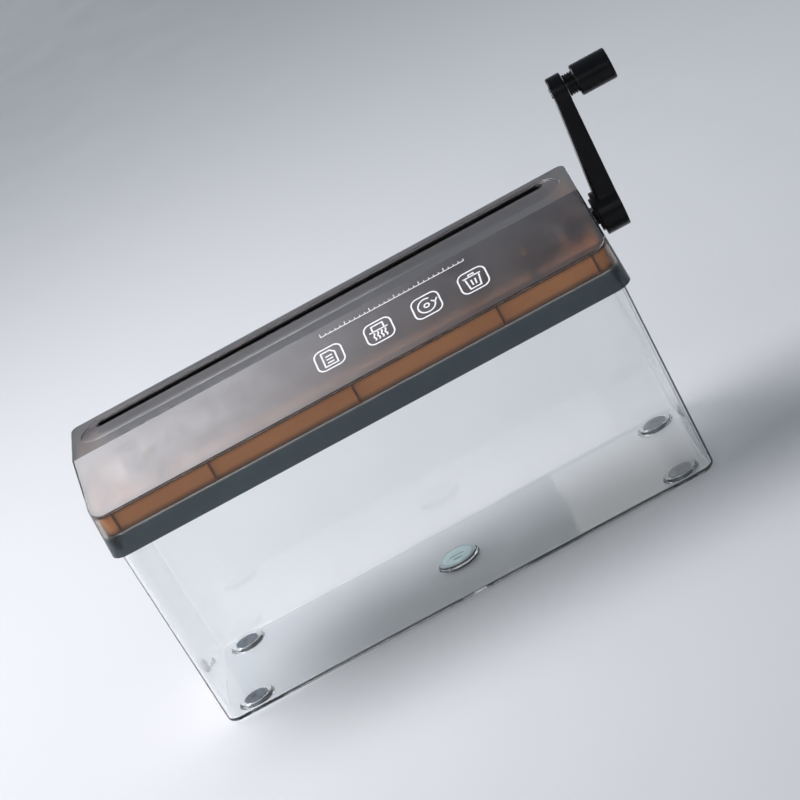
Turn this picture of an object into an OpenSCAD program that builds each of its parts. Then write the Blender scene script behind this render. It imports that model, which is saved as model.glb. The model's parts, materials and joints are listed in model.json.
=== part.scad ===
// Hand-cranked strip-cut paper shredder: a clear waste bin under a smoked lift-off cutter head.
// X runs along the feed slot towards the crank, +Y is the back, +Z is up, and z = 0 is the table.

/* [Bin] */
// Height of the clear bin's rim above the table
rim_z = 110.2; // [95:0.1:125]
// Width of the bin's footprint
base_w = 251; // [246:0.5:254]
// Depth of the bin's footprint
base_d = 88; // [84:0.5:90]
// Thickness of the bin's walls
bin_wall = 2; // [1.6:0.1:2.6]
// How far the rubber feet lift the bin off the table
foot_drop = 0.6; // [0.5:0.1:2.5]
// Diameter of each rubber foot
foot_dia = 12; // [10:0.5:13]

/* [Head] */
// Width of the head across its skirt
head_w = 262; // [262:0.5:266]
// Depth of the head across its skirt
head_d = 98; // [98:0.5:102]
// Height of the skirt's lower edge
skirt_z = 100; // [96:0.5:104]
// Height where the skirt ends and the sloping panels start
shoulder_z = 122; // [121:0.5:123]
// Height of the flat top
top_z = 139; // [138:0.5:141]
// Y of the front edge of the flat top
top_front_y = -13; // [-16:0.5:-10]
// Y of the back edge of the flat top
top_back_y = 29.5; // [28:0.5:30]
// How much narrower each end is at the top than at the skirt
end_draft = 1.8; // [1:0.1:2.4]
// Thickness of the head's outer wall
shell_wall = 2.2; // [1.8:0.1:2.4]

/* [Feed slot] */
// Y of the middle of the slot
slot_y = 19.5; // [19:0.5:20]
// Width of the slot
slot_gap = 4.4; // [4.2:0.1:5]
// Length of the slot
slot_len = 230; // [226:1:232]

/* [Cutters] */
// Distance between the two cutter shafts
shaft_gap = 20; // [20:1:20]
// Height of both cutter shafts
shaft_z = 117; // [116.5:0.5:117.5]
// Radius of a cutting disc
disc_r = 11; // [10.6:0.1:11.2]
// Thickness of a cutting disc
disc_t = 3.6; // [3:0.1:3.7]
// Distance from one disc to the next on a shaft
disc_pitch = 8; // [8:1:8]
// Number of discs on the front shaft
front_discs = 28; // [20:2:28]

/* [Crank] */
// Distance from the crank's axis to the knob's axis
crank_r = 60.5; // [50:0.5:64]
// Diameter of the crank's hub
hub_dia = 21; // [19:0.5:22]
// Diameter of the turning knob
knob_dia = 15; // [13:0.5:16]
// Length of the turning knob without its neck
knob_len = 17.7; // [15:0.1:20]

/* [Hidden] */
$fn = 48;
eps = 0.01;

// The shafts lie side by side under the slot, and the sheet slides down to the gap between them.
nip_y = 17;
front_y = nip_y - shaft_gap / 2;
rear_y = nip_y + shaft_gap / 2;

// Bin: every side leans out by the same amount, so its corners are cones.
corner_r = 8;
bin_edge_r = 3;
bin_corner_r = 6;
bin_corner_x = base_w / 2 - bin_corner_r;
bin_corner_y = base_d / 2 - bin_corner_r;
bin_lean = 2.3;
floor_t = 2;
floor_z = foot_drop + floor_t;
foot_x = 110;
foot_y = 31.5;
foot_boss_r = 8.6;
foot_boss_h = 1.6;
foot_top = floor_z + 0.5;
foot_play = 0.05;
label_r = 10.3;
label_t = 0.3;
label_boss_h = 1.9;

// Head
top_t = 3;
inner_r = corner_r - shell_wall;
tray_y0 = -2;
tray_y1 = 23.5;
tray_half = 124;
tray_front_depth = 0.4;
tray_slot_depth = 0.9;
rib_t = 1;
rib_x = [-120.5, -72, 0.5, 73, 120.5];
cover_gap = 1.2;
cover_z = 110.5;
cover_t = 2;
cover_wall = 1.6;
cover_top = 120.6;
cover_outer_w = head_w - 2 * (shell_wall + cover_gap) - 1.6;
cover_outer_d = head_d - 2 * (shell_wall + cover_gap);
chute_y0 = front_y - disc_r - 1.2;
chute_y1 = rear_y + disc_r + 1.2;
boss_places = [[-95, -28], [95, -28], [-119.5, 41.4], [119.5, 41.4]];
boss_r = 2.4;
pilot_r = 1.1;
screw_r = 1.05;
screw_head_r = 2.4;
screw_head_h = 1.6;
crank_hole_r = 7.5;
guide_wall = 1.5;
guide_z = 129;

// Shafts, from the left end wall to the right one
plate_in = 111.5;
plate_t = 3;
plate_out = plate_in + plate_t;
journal_r = 3;
running = 0.05;
hex_r = 4;
hex_play = 0.06;
flange_t = 1.2;
bush_r = 4.5;
flange_r = 6;
stack_end = plate_in - flange_t - 0.2;
spacer_r = 6;
gear_t = 6;
gear_x = -plate_out - 1.1 - gear_t;
gear_teeth = 20;
gear_module = shaft_gap / gear_teeth;
gear_play = 0.24;
square_side = 4.2;
square_play = 0.05;
clip_t = 0.8;
clip_r = 4.2;
groove_r = 2.4;
clip_left_x = gear_x - 0.2 - clip_t;
shaft_left = clip_left_x - 1.2;
pocket_x0 = gear_x - 2.8;
pocket_x1 = gear_x + gear_t + 0.7;
pocket_y0 = front_y - 10.8;
pocket_y1 = rear_y + 10.6;
pocket_z = shaft_z - 12.4;
pocket_wall = 1.2;
clip_right_x = plate_out + 0.5;
coupler_x = plate_out + 0.5;
coupler_end = head_w / 2 - 1.6;
coupler_r = 6.5;
coupler_web = 4;
front_end = coupler_x + coupler_web - 0.6;
socket_side = 7.1;

// Combs
comb_gap = 0.6;
comb_bar = 4.6;
comb_z0 = 112.8;
comb_z1 = 122.5;
finger_t = disc_pitch - disc_t - 0.8;
finger_clear = 0.5;
rod_r = 1.5;
rod_z = 115.4;

// Crank, in the plane of the right end wall and outwards
hub_x = 132.5;
hub_end = 143.9;
eye_x = 139.2;
eye_end = 146.4;
eye_r = 7.1;
waist_r = 7.2;
boss_x = head_w / 2 + 0.3;
boss_out_r = 8;
stub_side = 7;
stub_x = coupler_x + coupler_web + 0.4;
knob_z = shaft_z + crank_r;
pin_r = 2.4;
neck_r = 5.2;
neck_x = eye_end + 0.3;
knob_x = neck_x + 4.6;
knob_end = knob_x + knob_len;
pin_head_r = 4;
pin_head_t = 2;
cap_t = 1.8;
cap_r = 5.2;
pin_head_x = knob_end - cap_t - pin_head_t - 0.6;

// The part's frame has its origin in the middle of the whole part, crank included.
frame_x = (knob_end - head_w / 2) / 2;

// ---------------------------------------------------------------- shared shapes

module rounded_rect(w, d, r) {
    square([w - 2 * r, d], center = true);
    square([w, d - 2 * r], center = true);
    for (sx = [-1, 1], sy = [-1, 1])
        translate([sx * (w / 2 - r), sy * (d / 2 - r)]) circle(r);
}

// Extrudes a shape drawn in Y and Z along X.
module along_x(x0, x1) {
    translate([x0, 0, 0]) rotate([90, 0, 90]) linear_extrude(x1 - x0) children();
}

module rod_x(x0, x1, r, y = 0, z = 0) {
    translate([x0, y, z]) rotate([0, 90, 0]) cylinder(h = x1 - x0, r = r);
}

module square_bar(x0, x1, side, y, z) {
    translate([x0, y - side / 2, z - side / 2]) cube([x1 - x0, side, side]);
}

module hex_bar(x0, x1, r, y, z) {
    translate([x0, y, z]) rotate([0, 90, 0]) cylinder(h = x1 - x0, r = r, $fn = 6);
}

// ---------------------------------------------------------------- bin

// Half of the bin's section: a leaning side and a rounded lower edge, r out from the corner's axis.
module bin_profile(r, z0, z1, edge) {
    lean = atan(bin_lean / (rim_z - foot_drop));
    polygon([
        [0, z0], [r - edge, z0], [r - edge + edge * cos(lean), z0 + edge - edge * sin(lean)],
        [r + (z1 - z0) * tan(lean), z1], [0, z1]
    ]);
    translate([r - edge, z0 + edge]) circle(edge);
}

module bin_solid(inset, z0, z1, edge) {
    lean = bin_lean / (rim_z - foot_drop);
    r = bin_corner_r - inset + (z0 - foot_drop) * lean;
    for (sx = [-1, 1], sy = [-1, 1]) translate([sx * bin_corner_x, sy * bin_corner_y, 0])
        rotate_extrude() intersection() {
            bin_profile(r, z0, z1, edge);
            translate([0, z0]) square([2 * corner_r + bin_corner_r, z1 - z0]);
        }
    for (turned = [0, 180]) rotate(turned) {
        translate([-bin_corner_x, 0, 0]) rotate([90, 0, 90]) linear_extrude(2 * bin_corner_x)
            bin_half_section(bin_corner_y, r, z0, z1, edge);
        translate([0, bin_corner_y, 0]) rotate([90, 0, 0]) linear_extrude(2 * bin_corner_y)
            bin_half_section(bin_corner_x, r, z0, z1, edge);
    }
}

// Half of the bin's section from its middle plane out to its leaning side.
module bin_half_section(corner, r, z0, z1, edge) {
    translate([corner, 0]) bin_profile(r, z0, z1, edge);
    translate([-1, z0]) square([corner + 1 + eps, z1 - z0]);
}

module each_foot() {
    for (sx = [-1, 1], sy = [-1, 1]) translate([sx * foot_x, sy * foot_y, 0]) children();
}

// The clear bin, with a socket for each foot and a raised disc in the middle of its floor.
module bin_shell() {
    color([0.86, 0.90, 0.92, 0.35]) difference() {
        union() {
            difference() {
                bin_solid(0, foot_drop, rim_z, bin_edge_r);
                bin_solid(bin_wall, floor_z, rim_z + 2, bin_edge_r - bin_wall);
            }
            each_foot() translate([0, 0, floor_z - 0.5]) cylinder(h = foot_boss_h + 0.5, r = foot_boss_r);
            translate([0, 0, floor_z - 0.5]) cylinder(h = label_boss_h + 0.5, r = label_r);
        }
        each_foot() translate([0, 0, foot_drop - 1])
            cylinder(h = foot_top + foot_play - foot_drop + 1, r = foot_dia / 2 + foot_play);
    }
}

// A rubber foot, pushed into its socket under the bin.
module foot(sx, sy) {
    color([0.27, 0.30, 0.33]) translate([sx * foot_x, sy * foot_y, 0]) rotate_extrude() {
        square([foot_dia / 2 - 0.6, foot_top]);
        translate([0, 0.6]) square([foot_dia / 2, foot_top - 0.6]);
        intersection() {
            translate([foot_dia / 2 - 0.6, 0.6]) circle(0.6);
            square([foot_dia / 2, 0.6]);
        }
    }
}

module floor_label() {
    color([0.62, 0.80, 0.80])
        translate([0, 0, floor_z + label_boss_h]) cylinder(h = label_t, r = label_r - 1.6);
}

// ---------------------------------------------------------------- head

// The head's outline seen from its end, drawn a wall's thickness inside the outer face.
module end_outline(wall, roof) {
    half_d = head_d / 2;
    front_run = top_front_y + half_d;
    back_run = half_d - top_back_y;
    rise = top_z - shoulder_z;
    front_drop = wall * sqrt(front_run * front_run + rise * rise) / front_run;
    back_drop = wall * sqrt(back_run * back_run + rise * rise) / back_run;
    front_slope = rise / front_run;
    back_slope = rise / back_run;
    z_roof = top_z - roof;
    polygon([
        [-half_d + wall, skirt_z - (wall > 0 ? 1 : 0)],
        [half_d - wall, skirt_z - (wall > 0 ? 1 : 0)],
        [half_d - wall, shoulder_z - back_drop + wall * back_slope],
        [top_back_y + (roof - back_drop) / back_slope, z_roof],
        [top_front_y - (roof - front_drop) / front_slope, z_roof],
        [-half_d + wall, shoulder_z - front_drop + wall * front_slope]
    ]);
}

// The head's outline seen from the front: straight ends that lean in towards the top.
module front_outline(wall) {
    polygon([
        [-head_w / 2 + wall, skirt_z - 2],
        [head_w / 2 - wall, skirt_z - 2],
        [head_w / 2 - wall, skirt_z],
        [head_w / 2 - wall - end_draft, top_z + 1],
        [-head_w / 2 + wall + end_draft, top_z + 1],
        [-head_w / 2 + wall, skirt_z]
    ]);
}

module head_solid(wall, roof) {
    intersection() {
        along_x(-head_w / 2 - 1, head_w / 2 + 1) end_outline(wall, roof);
        translate([0, head_d, 0]) rotate([90, 0, 0]) linear_extrude(2 * head_d) front_outline(wall);
        translate([0, 0, skirt_z - 5]) linear_extrude(60)
            rounded_rect(head_w - 2 * wall, head_d - 2 * wall, corner_r - wall);
    }
}

// The shallow tray round the slot: its floor falls towards the slot.
module feed_tray() {
    tray_d = tray_y1 - tray_y0;
    intersection() {
        along_x(-head_w / 2, head_w / 2) polygon([
            [tray_y0 - 1, top_z + 1],
            [tray_y0 - 1, top_z - tray_front_depth],
            [slot_y - slot_gap / 2, top_z - tray_slot_depth],
            [tray_y1 + 1, top_z - tray_slot_depth],
            [tray_y1 + 1, top_z + 1]
        ]);
        translate([0, (tray_y0 + tray_y1) / 2, top_z - 4]) linear_extrude(8) {
            square([2 * tray_half - tray_d, tray_d], center = true);
            for (sx = [-1, 1]) translate([sx * (tray_half - tray_d / 2), 0]) circle(tray_d / 2, $fn = 96);
        }
    }
}

module slot_cut(grow) {
    translate([-slot_len / 2 - grow, slot_y - slot_gap / 2 - grow, 0])
        cube([slot_len + 2 * grow, slot_gap + 2 * grow, top_z + 1]);
}

// Ribs inside the skirt that stand on the bin's rim.
module stop_ribs() {
    for (x = rib_x, sy = [-1, 1])
        translate([x - rib_t / 2,
                   sy > 0 ? cover_outer_d / 2 + 0.1 : -head_d / 2 + shell_wall - 0.2, rim_z + 0.1])
            cube([rib_t, (head_d - cover_outer_d) / 2 - shell_wall + 0.1, shoulder_z - rim_z - 1.8]);
}

module head_shell() {
    color([0.36, 0.33, 0.33, 0.6]) difference() {
        union() {
            difference() {
                head_solid(0, 0);
                head_solid(shell_wall, top_t);
                feed_tray();
            }
            stop_ribs();
            intersection() {
                head_solid(shell_wall / 2, top_t / 2);
                for (p = boss_places) translate([p[0], p[1], cover_z + cover_t]) cylinder(h = 30, r = boss_r);
            }
        }
        slot_cut(guide_wall + 0.05);
        for (p = boss_places) translate([p[0], p[1], cover_z]) cylinder(h = 9.5, r = pilot_r);
        rod_x(head_w / 2 - 8, head_w / 2 + 2, crank_hole_r, front_y, shaft_z);
    }
}

// A black chute that lines the slot and leads the sheet to the cutters.
module feed_guide() {
    lip_z = top_z - tray_slot_depth;
    color([0.05, 0.05, 0.05]) difference() {
        translate([-slot_len / 2 - guide_wall, slot_y - slot_gap / 2 - guide_wall, guide_z])
            cube([slot_len + 2 * guide_wall, slot_gap + 2 * guide_wall, lip_z - guide_z]);
        slot_cut(0);
    }
}

// The trough under the gears, where they dip below the cover.
module gear_pocket(wall, z1) {
    translate([pocket_x0 - wall, pocket_y0 - wall, pocket_z - wall + 1])
        cube([pocket_x1 - pocket_x0 + 2 * wall, pocket_y1 - pocket_y0 + 2 * wall, z1 - pocket_z + wall - 1]);
}

module bottom_cover() {
    color([0.56, 0.42, 0.29]) difference() {
        union() {
            translate([0, 0, cover_z]) linear_extrude(cover_t)
                rounded_rect(cover_outer_w, cover_outer_d, inner_r - cover_gap);
            translate([0, 0, cover_z]) linear_extrude(cover_top - cover_z) difference() {
                rounded_rect(cover_outer_w, cover_outer_d, inner_r - cover_gap);
                rounded_rect(cover_outer_w - 2 * cover_wall, cover_outer_d - 2 * cover_wall,
                             inner_r - cover_gap - cover_wall);
            }
            gear_pocket(pocket_wall, cover_z + 1);
        }
        gear_pocket(0, cover_z + cover_t + 1);
        translate([-stack_end - 0.4, chute_y0, cover_z - 1])
            cube([2 * stack_end + 0.8, chute_y1 - chute_y0, cover_t + 2]);
        for (y = [front_y, rear_y]) rod_x(-plate_in, plate_in, flange_r + 0.3, y, shaft_z);
        for (sx = [-1, 1], y = [front_y - 4, rear_y + 4])
            translate([sx * (plate_in + plate_t / 2) - plate_t / 2 - 0.1, y - 4.1, cover_z - 1])
                cube([plate_t + 0.2, 8.2, cover_t + 2]);
        for (p = boss_places) translate([p[0], p[1], cover_z - 1])
            cylinder(h = cover_t + 2, r = screw_r + 0.3);
        rod_x(coupler_x, cover_outer_w / 2 + 2, coupler_r + 0.8, front_y, shaft_z);
    }
}

module cover_screws() {
    color([0.62, 0.62, 0.64]) for (p = boss_places) translate([p[0], p[1], 0]) {
        translate([0, 0, cover_z - screw_head_h]) difference() {
            cylinder(h = screw_head_h, r = screw_head_r);
            for (a = [0, 90]) rotate(a) translate([-1.6, -0.3, -1]) cube([3.2, 0.6, 1.8]);
        }
        translate([0, 0, cover_z - 0.1]) cylinder(h = 9, r = screw_r);
    }
}

module bearing_plate(sx) {
    x0 = sx > 0 ? plate_in : -plate_out;
    color([0.72, 0.73, 0.75]) difference() {
        union() {
            along_x(x0, x0 + plate_t) polygon([
                [front_y - disc_r - comb_bar - 2, cover_z + cover_t],
                [rear_y + disc_r + comb_bar + 0.8, cover_z + cover_t],
                [rear_y + disc_r + comb_bar + 0.8, shaft_z + 3],
                [rear_y + 3, shaft_z + 11],
                [front_y - 3, shaft_z + 11],
                [front_y - disc_r - comb_bar - 2, shaft_z + 5]
            ]);
            for (y = [front_y - 4, rear_y + 4])
                translate([x0, y - 4, cover_z]) cube([plate_t, 8, cover_t + 1]);
        }
        for (y = [front_y, rear_y]) rod_x(x0 - 1, x0 + plate_t + 1, bush_r + 0.02, y, shaft_z);
        for (y = [rod_front_y(), rod_rear_y()]) rod_x(x0 - 1, x0 + plate_t + 1, screw_r + 0.1, y, rod_z);
        // lightening window over the nip
        rod_x(x0 - 1, x0 + plate_t + 1, 2.5, nip_y, shaft_z + 7);
    }
}

module bush(sx, y) {
    color([0.86, 0.72, 0.36]) difference() {
        union() {
            rod_x(sx > 0 ? plate_in : -plate_out, sx > 0 ? plate_out : -plate_in, bush_r, y, shaft_z);
            rod_x(sx > 0 ? plate_in - flange_t : -plate_in, sx > 0 ? plate_in : -plate_in + flange_t,
                  flange_r, y, shaft_z);
        }
        rod_x(-plate_out - 2, plate_out + 2, journal_r + running, y, shaft_z);
    }
}

function rod_front_y() = front_y - disc_r - comb_gap - comb_bar / 2;
function rod_rear_y() = rear_y + disc_r + comb_gap + comb_bar / 2;

// A stripper comb: a bar beside the discs, with one finger in each gap between them.
module comb(side) {
    shaft_y = side < 0 ? front_y : rear_y;
    bar_y0 = side < 0 ? front_y - disc_r - comb_gap - comb_bar : rear_y + disc_r + comb_gap;
    reach = disc_r + comb_gap;
    gaps = side < 0 ? front_discs - 1 : front_discs - 2;
    difference() {
        union() {
            translate([-stack_end, bar_y0, comb_z0]) cube([2 * stack_end, comb_bar, comb_z1 - comb_z0]);
            for (i = [0 : gaps - 1])
                translate([(i - (gaps - 1) / 2) * disc_pitch - finger_t / 2,
                           side < 0 ? shaft_y - reach - eps : shaft_y, comb_z0 + 0.6])
                    cube([finger_t, reach + eps, comb_z1 - comb_z0 - 1.8]);
        }
        rod_x(-stack_end - 1, stack_end + 1, spacer_r + finger_clear, shaft_y, shaft_z);
        // the fingers end level with the shaft's outer side
        translate([-stack_end - 1, side < 0 ? shaft_y - 2 : shaft_y - 30, comb_z0 - 1])
            cube([2 * stack_end + 2, 32, comb_z1 - comb_z0 + 2]);
        rod_x(-stack_end - 1, stack_end + 1, rod_r + 0.05, bar_y0 + comb_bar / 2, rod_z);
    }
}

module tie_rod(y) {
    color([0.70, 0.70, 0.72]) difference() {
        rod_x(-plate_in, plate_in, rod_r, y, rod_z);
        for (sx = [-1, 1]) rod_x(sx > 0 ? plate_in - 7 : -plate_in - 1, sx > 0 ? plate_in + 1 : -plate_in + 7,
                                 0.85, y, rod_z);
    }
}

module tie_rod_screws() {
    color([0.62, 0.62, 0.64]) for (sx = [-1, 1], y = [rod_front_y(), rod_rear_y()])
        translate([sx * plate_out, y, rod_z]) rotate([0, sx * 90, 0]) {
            difference() {
                cylinder(h = 1.2, r = 2.2);
                for (a = [0, 90]) rotate(a) translate([-1.3, -0.25, 0.5]) cube([2.6, 0.5, 1]);
            }
            translate([0, 0, -plate_t - 5]) cylinder(h = plate_t + 5.1, r = 0.8);
        }
}

// ---------------------------------------------------------------- cutters

// Involute spur gear outline with straight root fillets and a little backlash.
function involute(rb, t) = [rb * (cos(t) + t * PI / 180 * sin(t)), rb * (sin(t) - t * PI / 180 * cos(t))];
function roll(rb, r) = sqrt(r * r / (rb * rb) - 1) * 180 / PI;
function turn(p, a) = [p[0] * cos(a) - p[1] * sin(a), p[0] * sin(a) + p[1] * cos(a)];
function flank(rb, r0, r1, steps) =
    [for (k = [0 : steps]) involute(rb, roll(rb, r0 + (r1 - r0) * k / steps))];

module gear_outline(teeth, m, play) {
    pressure = 20;
    pitch_r = teeth * m / 2;
    rb = pitch_r * cos(pressure);
    tip_r = pitch_r + m * 0.95;
    root_r = pitch_r - 1.2 * m;
    at_pitch = involute(rb, roll(rb, pitch_r));
    half = 90 / teeth - (play / 2) / pitch_r * 180 / PI / 2 + atan2(at_pitch[1], at_pitch[0]);
    steps = 5;
    right = [for (p = flank(rb, rb + eps, tip_r, steps)) turn(p, -half)];
    left = [for (k = [0 : steps]) [right[steps - k][0], -right[steps - k][1]]];
    foot_a = atan2(right[0][1], right[0][0]);
    tooth = concat([[root_r * cos(foot_a - 0.6), root_r * sin(foot_a - 0.6)]], right, left,
                   [[root_r * cos(foot_a - 0.6), -root_r * sin(foot_a - 0.6)]]);
    polygon([for (i = [0 : teeth - 1]) for (p = tooth) turn(p, i * 360 / teeth)]);
}

module gear(y, phase) {
    color([0.90, 0.89, 0.84]) difference() {
        translate([gear_x, y, shaft_z]) rotate([90, 0, 90]) linear_extrude(gear_t)
            rotate(phase) gear_outline(gear_teeth, gear_module, gear_play);
        square_bar(gear_x - 1, gear_x + gear_t + 1, square_side + 2 * square_play, y, shaft_z);
    }
}

// A hexagonal bar with round journals, square ends and a groove for each clip.
module cutter_shaft(y, right_end, right_groove) {
    color([0.74, 0.75, 0.77]) difference() {
        union() {
            hex_bar(-stack_end, stack_end, hex_r, y, shaft_z);
            rod_x(-plate_out - 0.6, plate_out + 0.4, journal_r, y, shaft_z);
            intersection() {
                square_bar(shaft_left, 0, square_side, y, shaft_z);
                rod_x(shaft_left, 0, journal_r, y, shaft_z);
            }
            intersection() {
                square_bar(0, right_end, right_groove ? 2 * journal_r : square_side, y, shaft_z);
                rod_x(0, right_end, journal_r, y, shaft_z);
            }
        }
        clip_groove(clip_left_x, y);
        if (right_groove) clip_groove(clip_right_x, y);
    }
}

module clip_groove(x, y) {
    difference() {
        rod_x(x - 0.05, x + clip_t + 0.05, journal_r + 1, y, shaft_z);
        rod_x(x - 1, x + clip_t + 1, groove_r, y, shaft_z);
    }
}

module clip(x, y) {
    color([0.30, 0.31, 0.33]) difference() {
        rod_x(x, x + clip_t, clip_r, y, shaft_z);
        rod_x(x - 1, x + clip_t + 1, groove_r + 0.03, y, shaft_z);
        translate([x - 1, y - groove_r * 0.8, shaft_z - clip_r - 1])
            cube([clip_t + 2, groove_r * 1.6, clip_r + 1]);
    }
}

module cutter_discs(y, count) {
    color([0.66, 0.68, 0.70]) for (i = [0 : count - 1]) {
        x = (i - (count - 1) / 2) * disc_pitch;
        difference() {
            rod_x(x - disc_t / 2, x + disc_t / 2, disc_r, y, shaft_z);
            hex_bar(x - disc_t, x + disc_t, hex_r + hex_play, y, shaft_z);
        }
    }
}

module spacers(y, count) {
    edge = count * disc_pitch / 2 - (disc_pitch - disc_t) / 2;
    spans = concat([[-stack_end, -edge]],
                   [for (i = [0 : count - 2]) let (x = (i + 1 - count / 2) * disc_pitch)
                       [x - (disc_pitch - disc_t) / 2, x + (disc_pitch - disc_t) / 2]],
                   [[edge, stack_end]]);
    color([0.16, 0.16, 0.17]) for (s = spans) difference() {
        rod_x(s[0], s[1], spacer_r, y, shaft_z);
        hex_bar(s[0] - 1, s[1] + 1, hex_r + hex_play, y, shaft_z);
    }
}

// Joins the front shaft to the crank's square stub.
module drive_coupler() {
    color([0.08, 0.08, 0.08]) difference() {
        rod_x(coupler_x, coupler_end, coupler_r, front_y, shaft_z);
        square_bar(coupler_x - 1, coupler_x + coupler_web - 0.5, square_side + 2 * square_play,
                   front_y, shaft_z);
        square_bar(coupler_x + coupler_web, coupler_end + 1, socket_side, front_y, shaft_z);
    }
}

// ---------------------------------------------------------------- crank

// The arm seen along the crank's axis: hub, waist and eye.
module arm_outline() {
    circle(hub_dia / 2);
    translate([0, crank_r]) circle(eye_r);
    polygon([[-waist_r, 6], [waist_r, 6], [eye_r - 1, crank_r], [-eye_r + 1, crank_r]]);
}

// The arm seen from the front: thick at the hub, leaning outwards to the eye.
module arm_side() {
    r = hub_dia / 2;
    polygon([
        [hub_x, -r - 1], [hub_end, -r - 1], [hub_end + 0.8, r],
        [eye_end, crank_r - eye_r], [eye_end, crank_r + eye_r + 1],
        [eye_x, crank_r + eye_r + 1], [eye_x, crank_r - eye_r],
        [hub_x + 2.2, r + 2], [hub_x, r - 1.5]
    ]);
}

module crank_arm() {
    color([0.04, 0.04, 0.045]) difference() {
        union() {
            intersection() {
                translate([hub_x - 1, front_y, shaft_z]) rotate([90, 0, 90])
                    linear_extrude(eye_end - hub_x + 2) arm_outline();
                translate([0, front_y + 20, shaft_z]) rotate([90, 0, 0]) linear_extrude(40) arm_side();
            }
            rod_x(boss_x, hub_x + 1, boss_out_r, front_y, shaft_z);
            square_bar(stub_x, boss_x + 1, stub_side, front_y, shaft_z);
        }
        rod_x(eye_x - 2, eye_end + 2, pin_r + 0.01, front_y, knob_z);
    }
}

module knob_pin() {
    color([0.70, 0.70, 0.72]) {
        rod_x(eye_x - 0.6, pin_head_x + 0.1, pin_r, front_y, knob_z);
        rod_x(pin_head_x, pin_head_x + pin_head_t, pin_head_r, front_y, knob_z);
    }
}

// The knob turns on its pin: a grooved neck, a barrel and a pocket for the pin's head.
module crank_knob() {
    color([0.04, 0.04, 0.045]) translate([0, front_y, knob_z]) rotate([0, 90, 0]) rotate_extrude() {
        bore = pin_r + 0.08;
        barrel = knob_dia / 2;
        pocket = cap_r + 0.01;
        polygon([
            [bore, neck_x], [neck_r - 0.3, neck_x], [neck_r, neck_x + 0.3], [neck_r, neck_x + 0.9],
            [neck_r - 0.4, neck_x + 1.0], [neck_r - 0.4, neck_x + 1.5], [neck_r, neck_x + 1.6],
            [neck_r, neck_x + 2.1], [neck_r - 0.4, neck_x + 2.2], [neck_r - 0.4, neck_x + 2.7],
            [neck_r, neck_x + 2.8], [neck_r, knob_x], [barrel - 0.6, knob_x], [barrel, knob_x + 0.6],
            [barrel, knob_end - 0.8], [barrel - 0.8, knob_end], [pocket, knob_end],
            [pocket, pin_head_x - 0.1], [bore, pin_head_x - 0.1]
        ]);
    }
}

module knob_cap() {
    color([0.04, 0.04, 0.045]) rod_x(knob_end - cap_t, knob_end, cap_r, front_y, knob_z);
}

module in_frame() {
    translate([-frame_x, 0, 0]) children();
}

in_frame() bin_shell();
in_frame() foot(-1, -1);  // foot_front_left
in_frame() foot(1, -1);  // foot_front_right
in_frame() foot(-1, 1);  // foot_rear_left
in_frame() foot(1, 1);  // foot_rear_right
in_frame() floor_label();
in_frame() head_shell();
in_frame() feed_guide();
in_frame() bottom_cover();
in_frame() cover_screws();
in_frame() bearing_plate(-1);  // bearing_plate_left
in_frame() bearing_plate(1);  // bearing_plate_right
in_frame() bush(-1, front_y);  // bush_front_left
in_frame() bush(1, front_y);  // bush_front_right
in_frame() bush(-1, rear_y);  // bush_rear_left
in_frame() bush(1, rear_y);  // bush_rear_right
in_frame() color([0.13, 0.13, 0.14]) comb(-1);  // comb_front
in_frame() color([0.13, 0.13, 0.14]) comb(1);  // comb_rear
in_frame() tie_rod(rod_front_y());  // tie_rod_front
in_frame() tie_rod(rod_rear_y());  // tie_rod_rear
in_frame() tie_rod_screws();
in_frame() cutter_shaft(front_y, front_end, false);  // shaft_front
in_frame() cutter_discs(front_y, front_discs);  // cutter_discs_front
in_frame() spacers(front_y, front_discs);  // spacers_front
in_frame() gear(front_y, 0);  // gear_front
in_frame() drive_coupler();
in_frame() clip(clip_left_x, front_y);  // clip_front
in_frame() cutter_shaft(rear_y, clip_right_x + clip_t + 1, true);  // shaft_rear
in_frame() cutter_discs(rear_y, front_discs - 1);  // cutter_discs_rear
in_frame() spacers(rear_y, front_discs - 1);  // spacers_rear
in_frame() gear(rear_y, 180 / gear_teeth);  // gear_rear
in_frame() clip(clip_left_x, rear_y);  // clip_rear_left
in_frame() clip(clip_right_x, rear_y);  // clip_rear_right
in_frame() crank_arm();
in_frame() knob_pin();
in_frame() crank_knob();
in_frame() knob_cap();
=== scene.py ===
"""Looks of the hand-cranked paper shredder: shells, crank, feet and materials built round its CAD frame."""

import json
import math

import bmesh
import bpy
from mathutils import Matrix, Vector


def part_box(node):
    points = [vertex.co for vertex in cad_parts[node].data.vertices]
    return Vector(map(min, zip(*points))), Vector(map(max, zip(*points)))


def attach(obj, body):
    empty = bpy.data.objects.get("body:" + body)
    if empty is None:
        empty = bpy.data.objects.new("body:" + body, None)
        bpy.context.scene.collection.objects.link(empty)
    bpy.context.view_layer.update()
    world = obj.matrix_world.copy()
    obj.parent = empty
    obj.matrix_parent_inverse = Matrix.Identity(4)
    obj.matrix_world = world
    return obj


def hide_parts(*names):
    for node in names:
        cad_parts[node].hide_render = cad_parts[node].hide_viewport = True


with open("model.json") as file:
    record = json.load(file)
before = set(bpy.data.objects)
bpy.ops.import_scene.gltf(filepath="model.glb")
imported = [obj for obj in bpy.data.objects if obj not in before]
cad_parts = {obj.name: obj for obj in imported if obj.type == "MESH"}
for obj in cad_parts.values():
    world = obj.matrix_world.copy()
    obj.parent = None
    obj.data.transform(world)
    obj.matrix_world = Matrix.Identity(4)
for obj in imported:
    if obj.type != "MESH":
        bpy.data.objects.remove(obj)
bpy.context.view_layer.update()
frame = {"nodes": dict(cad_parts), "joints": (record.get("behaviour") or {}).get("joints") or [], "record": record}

MM = 0.001
UP = Vector((0, 0, 1))

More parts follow.
